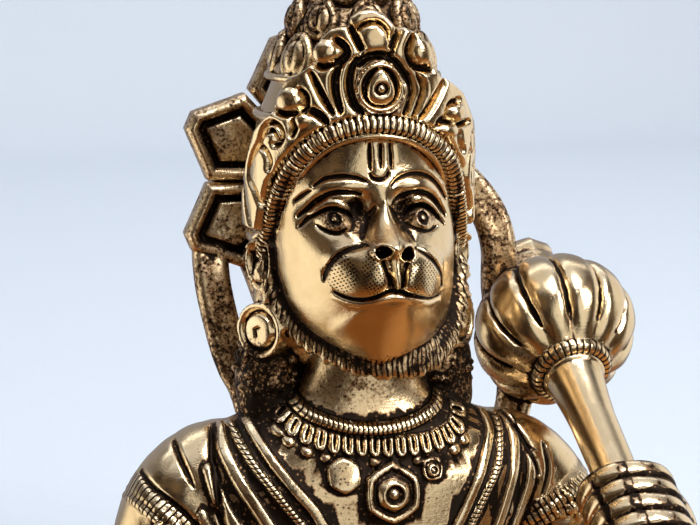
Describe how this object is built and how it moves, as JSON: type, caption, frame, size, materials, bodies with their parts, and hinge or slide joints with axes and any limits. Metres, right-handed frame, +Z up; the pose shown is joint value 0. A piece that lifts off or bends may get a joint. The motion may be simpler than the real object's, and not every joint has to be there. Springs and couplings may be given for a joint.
{
  "type": "brass monkey-faced guardian bust with mace",
  "caption": "Cast brass half figure of a monkey-faced guardian with a tall leafed crown, petalled nimbus, raised tail and a lobed mace held over the shoulder, cut flat below.",
  "frame": {"origin": "on the flat underside, straight below the middle of the head", "axes": "+Z up, the face looks along -Y, +X to the side of the hand with the mace"},
  "size_m": [0.0758, 0.0576, 0.0974],
  "materials": {
    "brass": "polished high places, dark brown patina in the chased recesses"
  },
  "bodies": {
    "root": {"figure": "brass"}
  },
  "joints": []
}
